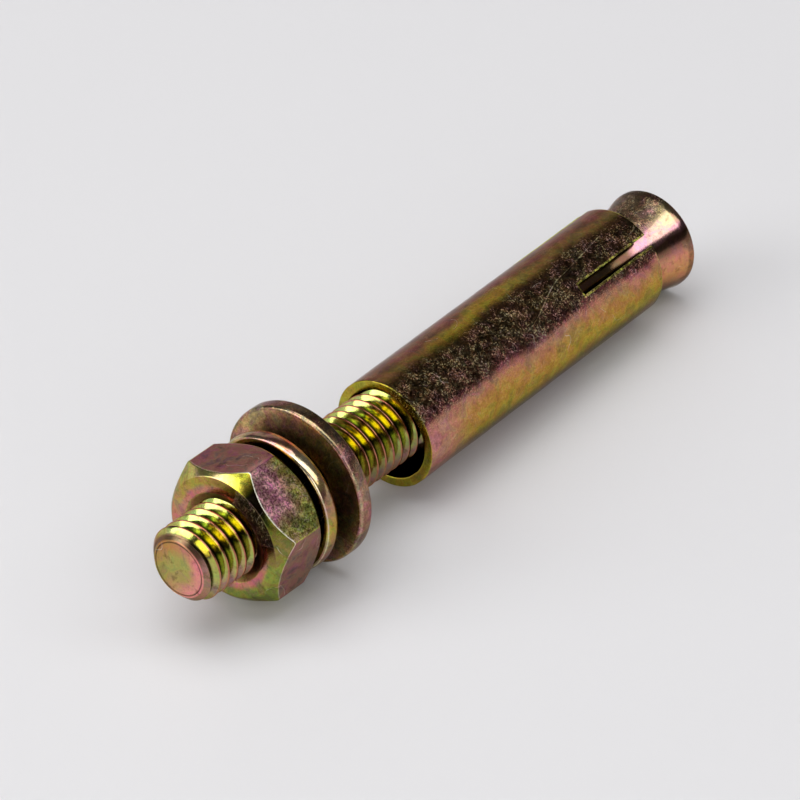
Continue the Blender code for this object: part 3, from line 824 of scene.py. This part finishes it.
def paint_sleeve(node, along, angle, turn, radius):
    """Drawn tube: long bands of pink, gold and olive, and one etched side darkened partly as painted shade.
    """
    colour = node(RAMP, turn, stops=degrees(
        (0, "#A07C80"), (30, "#9C8848"), (52, "#966A64"), (74, "#90645A"), (83, "#9A7A50"), (92, "#8A7048"),
        (103, "#80624A"), (124, "#7E644C"), (142, "#8A6460"), (151, "#C08088"), (158, "#C28E7E"),
        (167, "#C0965E"), (178, "#BC9C4E"), (190, "#BAA648"), (206, "#928450"), (232, "#98787E"),
        (270, "#B89C48"), (312, "#C08C70"), (338, "#8E9456"), (360, "#A07C80"),
    ))
    streak = between(node, turn, (0.2, 0.24), (0.28, 0.25))
    middle = between(node, along, (5.0, 14.0), (33.0, 20.0))
    colour = node(MIX, node(MATHS, streak, middle, **TIMES), colour, "#C0A848", **COLOURS)
    low_side = between(node, turn, (0.42, 0.45), (0.64, 0.58))
    near_mouth = node(RANGE, along, 9.0, 2.0, 0.0, 0.8, **SMOOTH)
    colour = node(MIX, node(MATHS, low_side, near_mouth, **TIMES), colour, "#D0909A", **COLOURS)
    # Painted shade: the bore is darkened, as the inside of the tube lies in shade
    colour = node(MIX, node(RANGE, radius, 6.5, 6.2, **SMOOTH), colour, "#4C3C2C", **COLOURS)
    colour = node(MIX, node(RANGE, along, 0.14, 0.04, **SMOOTH), colour, "#B4A844", **COLOURS)

    # The edges of the saw cuts and of the tube's end are paler and more matt: bare sawn metal, and a painted
    # highlight along the edges
    quarter = node(MATHS, node(MATHS, angle, SLOT_AT, **MINUS), SLOTS / math.tau, **TIMES)
    quarter = node(MATHS, node(MATHS, node(MATHS, quarter, 0.5, **PLUS), **PART), 0.5, **MINUS)
    off_slot = node(MATHS, node(MATHS, quarter, math.tau / SLOTS, **TIMES), operation="SINE")
    off_slot = node(MATHS, node(MATHS, off_slot, radius, **TIMES), **SIZE)
    start = SLEEVE_LENGTH - SLOT_LENGTH
    sawn_edge_sheen = node(RANGE, off_slot, SLOT_WIDTH / 2 + 0.34, SLOT_WIDTH / 2 + 0.2, **SMOOTH)
    sawn_edge_sheen = node(MATHS, sawn_edge_sheen, node(RANGE, along, start - 0.34, start - 0.16, **SMOOTH), **TIMES)
    end = node(RANGE, along, SLEEVE_LENGTH - 0.16, SLEEVE_LENGTH - 0.06, **SMOOTH)
    sawn_edge_sheen = node(MATHS, sawn_edge_sheen, end, operation="MAXIMUM")
    colour = node(MIX, sawn_edge_sheen, colour, "#E2E480", **COLOURS)

    # One long scratch crosses the etched side
    bend = node(RANGE, along, 20.8, 32.0, math.radians(134.6), math.radians(110), **SMOOTH)
    route = node(MATHS, bend, node(RANGE, along, 32.0, 41.0, 0.0, math.radians(-10)), **PLUS)
    off_route = node(MATHS, node(MATHS, angle, route, **MINUS), SLEEVE_RADIUS, **TIMES)
    scratch = node(RANGE, node(MATHS, off_route, **SIZE), 0.09, 0.03, **SMOOTH)
    scratch = node(MATHS, scratch, between(node, along, (20.5, 22.0), (41.5, 40.0)), **TIMES)
    scratch = node(MATHS, scratch, 0.85, **TIMES)
    colour = node(MIX, scratch, colour, "#DDD5C8", **COLOURS)
    # The etched side is the one that mirrors the dark room: its grain is real, and the darkening by its pits
    # and dark patches is partly painted shade
    etched = between(node, turn, (0.24, 0.3), (0.435, 0.405))
    grain = node(RANGE, etched, 0.0, 1.0, 0.22, 1.0)
    matt = node(MATHS, node(MATHS, node(MATHS, sawn_edge_sheen, scratch, **PLUS), 0.55, **TIMES), 0.09, **PLUS)
    return colour, grain, matt


def paint_washer(node, along, angle, turn, radius):
    """Punched steel: a satin face with painted light and shade, and a smoother mauve rim with a paler front
    edge.
    """
    # Painted light and shade: the face is lighter from 40° to 75° and darker from 150° to 200°
    face = node(RAMP, turn, stops=degrees(
        (0, "#A88488"), (40, "#C4A88C"), (75, "#C4A69A"), (110, "#B09E74"), (150, "#94805E"),
        (200, "#8E7A58"), (260, "#987C80"), (310, "#9C9860"), (360, "#A88488"),
    ))
    # Painted shade: the face darkens towards the hole, where the split washer and the nut shade it
    face = node(MIX, node(RANGE, radius, 8.0, 6.4, **SMOOTH), face, "#7A6650", **COLOURS)
    rim = node(RAMP, turn, stops=degrees(
        (0, "#AC9A70"), (50, "#A08280"), (95, "#8C706A"), (140, "#AE8A8A"), (185, "#A88088"),
        (230, "#9C8C58"), (290, "#A88488"), (360, "#AC9A70"),
    ))
    colour = node(MIX, node(RANGE, radius, 9.75, 9.95, **SMOOTH), face, rim, **COLOURS)
    # The rolled front edge is paler: partly rubbed film, partly a painted highlight
    edge = node(RANGE, radius, 10.0, 10.12, **SMOOTH)
    edge = node(MATHS, edge, node(RANGE, along, 0.42, 0.26, **SMOOTH), **TIMES)
    colour = node(MIX, node(MATHS, edge, 0.4, **TIMES), colour, "#E0D4CE", **COLOURS)
    return colour, 0.35, node(RANGE, radius, 9.6, 9.9, 0.3, 0.13)


def paint_spring_washer(node, along, angle, turn, radius):
    """Wound spring steel, the smoothest of the pieces: copper and gold, with painted highlights on rim and
    front edge.
    """
    swept = node(MATHS, node(MATHS, SPRING_SPLIT_AT, angle, **MINUS), math.tau, **OVER)
    rise = node(MATHS, node(MATHS, swept, **PART), SPRING_RISE, **TIMES)
    from_front = node(MATHS, along, rise, **MINUS)
    # Painted highlight: the near-white stops from 114° to 142° stand for a lamp mirrored in the crowned rim
    rim = node(RAMP, turn, stops=degrees(
        (0, "#B8A268"), (40, "#C4B27E"), (72, "#B494A0"), (100, "#B28C80"), (114, "#FFF0D8"),
        (142, "#FFD8B4"), (156, "#A48086"), (178, "#B8AE58"), (202, "#A48086"), (260, "#9C9458"),
        (320, "#B08878"), (360, "#B8A268"),
    ))
    colour = node(MIX, node(RANGE, radius, 8.6, 8.3, **SMOOTH), rim, "#7C6A50", **COLOURS)
    # Painted highlight: a pale line along the front edge of the rim
    edge = node(RANGE, radius, 8.62, 8.74, **SMOOTH)
    edge = node(MATHS, edge, node(RANGE, from_front, 0.3, 0.14, **SMOOTH), **TIMES)
    colour = node(MIX, node(MATHS, edge, 0.8, **TIMES), colour, "#EFE6DC", **COLOURS)
    return colour, 0.12, 0.09


def paint_nut(node, along, angle, turn, radius):
    """Forged steel: mauve and olive flats, one etched, with painted light and shade on chamfers, face, bore
    and edges.
    """
    flat_turn = node(MATHS, node(MATHS, angle, math.tau, **OVER), **PART)
    flats = node(RAMP, flat_turn, stops=[
        (0.0, "#A8A468"), (0.1255, "#A07480"), (0.2922, "#B2B872"), (0.4589, "#A07C82"),
        (0.6255, "#A0A05C"), (0.7922, "#A87E86"), (0.9589, "#A8A468"),
    ])
    flats.color_ramp.interpolation = "CONSTANT"
    patch = between(node, turn, (0.27, 0.3), (0.45, 0.4))
    patch = node(MATHS, patch, node(RANGE, along, 6.0, 4.0, **SMOOTH), **TIMES)
    flats = node(MIX, patch, flats, "#F6B0D2", **COLOURS)
    from_middle = node(MATHS, node(MATHS, along, NUT_HEIGHT / 2, **MINUS), **SIZE)
    depth = node(MATHS, NUT_HEIGHT / 2, from_middle, **MINUS)
    over_chamfer = node(MATHS, node(MATHS, radius, NUT_FACE_RADIUS, **MINUS), depth, **MINUS)
    # Painted light and shade on the chamfers: the pale yellow stops up to 107° are a painted highlight, and
    # the near-black ones from 113° to 134° are painted shade, the dark room mirrored there
    chamfer = node(RAMP, turn, stops=degrees(
        (0, "#A89A78"), (40, "#B8B268"), (62, "#D8D0A0"), (84, "#DAD69A"), (98, "#F0F060"),
        (107, "#B4BC44"), (113, "#2E2218"), (134, "#2A1F17"), (148, "#6E7434"), (176, "#8A9050"),
        (230, "#8C9452"), (290, "#A88078"), (360, "#A89A78"),
    ))
    colour = node(MIX, node(RANGE, over_chamfer, -0.1, -0.02, **SMOOTH), flats, chamfer, **COLOURS)
    # Painted shade: the face is darker from 110° to 170° and near black from about 100° to 180°, where the
    # stud shades it
    outer = node(RAMP, turn, stops=degrees(
        (0, "#C8868E"), (30, "#A8A45E"), (60, "#A89A58"), (110, "#6E5E40"), (170, "#6E6440"),
        (200, "#94A05A"), (262, "#98A05E"), (300, "#C68C8A"), (330, "#989E5A"), (360, "#C8868E"),
    ))
    face = node(MIX, node(RANGE, radius, 7.1, 6.3, **SMOOTH), outer, "#C4848C", **COLOURS)
    stud_shade = between(node, turn, (0.27, 0.31), (0.5, 0.46))
    face = node(MIX, node(MATHS, stud_shade, 0.9, **TIMES), face, "#34261E", **COLOURS)
    colour = node(MIX, node(RANGE, depth, 0.05, 0.01, **SMOOTH), colour, face, **COLOURS)
    # Painted shade: the countersink and the bore are darker, most from 120° to 200°, as they lie in shade
    # inside the nut
    bore = node(RAMP, turn, stops=degrees(
        (0, "#B0A078"), (70, "#A08662"), (120, "#6E4638"), (200, "#84563F"), (260, "#B0A078"),
        (360, "#B0A078"),
    ))
    colour = node(MIX, node(RANGE, radius, 5.95, 5.8, **SMOOTH), colour, bore, **COLOURS)

    # Painted highlight: a near-white line along the front edges of the flats, strongest on the side that
    # shows the etched flat
    off_flat = node(MATHS, node(MATHS, turn, 0.375, **MINUS), **SIZE)
    bright = node(RANGE, off_flat, 0.13, 0.08, 0.3, 1.0, **SMOOTH)
    edge = between(node, over_chamfer, (-0.25, -0.17), (-0.02, -0.04))
    edge = node(MATHS, edge, node(RANGE, radius, NUT_FACE_RADIUS + 0.3, NUT_HALF_FLATS, **SMOOTH), **TIMES)
    edge = node(MATHS, edge, node(RANGE, along, NUT_HEIGHT * 0.7, NUT_HEIGHT * 0.5), **TIMES)
    edge_glint = node(MATHS, edge, bright, **TIMES)
    colour = node(MIX, edge_glint, colour, "#FFFAF0", **COLOURS)
    etched = node(MATHS, node(RANGE, flat_turn, 0.29, 0.295), node(RANGE, flat_turn, 0.461, 0.456), **TIMES)
    etched = node(MATHS, etched, node(RANGE, over_chamfer, -0.08, -0.14, **SMOOTH), **TIMES)
    grain = node(RANGE, etched, 0.0, 1.0, 0.12, 0.75)
    matt = node(MATHS, etched, node(RANGE, radius, 5.95, 5.8), **PLUS)
    matt = node(MATHS, matt, node(MATHS, edge_glint, 1.5, **TIMES), **PLUS)
    return colour, grain, node(MATHS, node(MATHS, matt, 0.2, **TIMES), 0.12, **PLUS)


film = chromate_film()
rolled_steel = plated("zinc_yellow_rolled_stud", STUD_FRAME, film, paint_stud, clouds=0.25)
drawn_tube = plated("zinc_yellow_drawn_tube", SLEEVE_FRAME, film, paint_sleeve, clouds=0.3, stains=0.25)
punched_steel = plated("zinc_yellow_punched_washer", WASHER_FRAME, film, paint_washer)
spring_steel = plated("zinc_yellow_spring_steel", SPRING_FRAME, film, paint_spring_washer)
forged_steel = plated("zinc_yellow_forged_nut", NUT_FRAME, film, paint_nut)

rolled_thread = thread_tree()
stud = make_stud(rolled_thread, rolled_steel)
sleeve = make_sleeve(drawn_tube)
washer = make_washer(punched_steel)
spring_washer = make_spring_washer(spring_steel)
nut = make_nut(rolled_thread, forged_steel)

for piece, body, cad_node, slot in (
    (stud, "stud", "cone_bolt", "stud"),
    (sleeve, "sleeve", "expansion_sleeve", "sleeve"),
    (washer, "washer", "flat_washer", "washer"),
    (spring_washer, "lock_ring", "spring_washer", "spring_washer"),
    (nut, "nut", "hex_nut", "nut"),
):
    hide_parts(cad_node)
    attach(piece, body)


# Table, lamps and camera

def white_board():
    """Coated board: matt and nearly white, so that the eye sees only the object's soft shadow on it."""
    material = bpy.data.materials.new("white_board")
    material.use_nodes = True
    shader = material.node_tree.nodes["Principled BSDF"]
    shader.inputs["Base Color"].default_value = linear(PALE)
    shader.inputs["Roughness"].default_value = 0.6
    return material


def make_table():
    """The board that the object lies on, a hair below it so that the two never share a plane."""
    mesh = bmesh.new()
    bmesh.ops.create_grid(mesh, x_segments=1, y_segments=1, size=TABLE_HALF)
    data = bpy.data.meshes.new("table")
    mesh.to_mesh(data)
    mesh.free()
    data.materials.append(white_board())
    table = bpy.data.objects.new("table", data)
    table.location.z = -TABLE_DROP
    bpy.context.scene.collection.objects.link(table)


def add_softbox(name, towards, distance, width, height, power):
    """A rectangular lamp in this direction from the object, facing it. It is not seen by the camera."""
    lamp = bpy.data.lights.new(name, "AREA")
    lamp.shape = "RECTANGLE"
    lamp.size = width
    lamp.size_y = height
    lamp.energy = power
    holder = bpy.data.objects.new(name, lamp)
    direction = Vector(towards).normalized()
    holder.location = direction * distance
    holder.rotation_euler = direction.to_track_quat("Z", "Y").to_euler()
    holder.visible_camera = False
    bpy.context.scene.collection.objects.link(holder)


def make_world():
    """A dim room with a pale backdrop low round the table, which stands behind the lamps."""
    world = bpy.data.worlds.new("studio")
    world.use_nodes = True
    tree = world.node_tree
    dim = tree.nodes["Background"]
    dim.inputs["Color"].default_value = (1.0, 1.0, 1.0, 1.0)
    dim.inputs["Strength"].default_value = ROOM
    node = partial(add, tree)
    pale = node("ShaderNodeBackground", PALE, 1.0)
    height = node("ShaderNodeSeparateXYZ", node("ShaderNodeTexCoord").outputs["Generated"]).outputs["Z"]
    backdrop = node(RANGE, height, BACKDROP_TOP, BACKDROP_FULL, **SMOOTH)
    mixed = node("ShaderNodeMixShader", backdrop, dim, pale)
    tree.links.new(mixed.outputs[0], tree.nodes["World Output"].inputs["Surface"])
    bpy.context.scene.world = world


def make_camera():
    """The photograph's camera: a long lens, low over the threaded end."""
    camera = bpy.data.cameras.new("camera")
    camera.lens = CAMERA_LENS
    camera.sensor_width = CAMERA_SENSOR
    holder = bpy.data.objects.new("camera", camera)
    holder.location = Vector(CAMERA_TARGET) * MM
    azimuth = math.radians(CAMERA_AZIMUTH)
    elevation = math.radians(CAMERA_ELEVATION)
    ahead = Vector((
        math.sin(azimuth) * math.cos(elevation), math.cos(azimuth) * math.cos(elevation), -math.sin(elevation)
    ))
    holder.location -= ahead * CAMERA_DISTANCE * MM
    level = ahead.to_track_quat("-Z", "Y").to_matrix().to_4x4()
    holder.rotation_euler = (level @ Matrix.Rotation(math.radians(CAMERA_ROLL), 4, "Z")).to_euler()
    bpy.context.scene.collection.objects.link(holder)
    bpy.context.scene.camera = holder


make_table()
for lamp in LAMPS:
    add_softbox(*lamp)
make_world()
make_camera()
bpy.context.scene.view_settings.view_transform = "Standard"
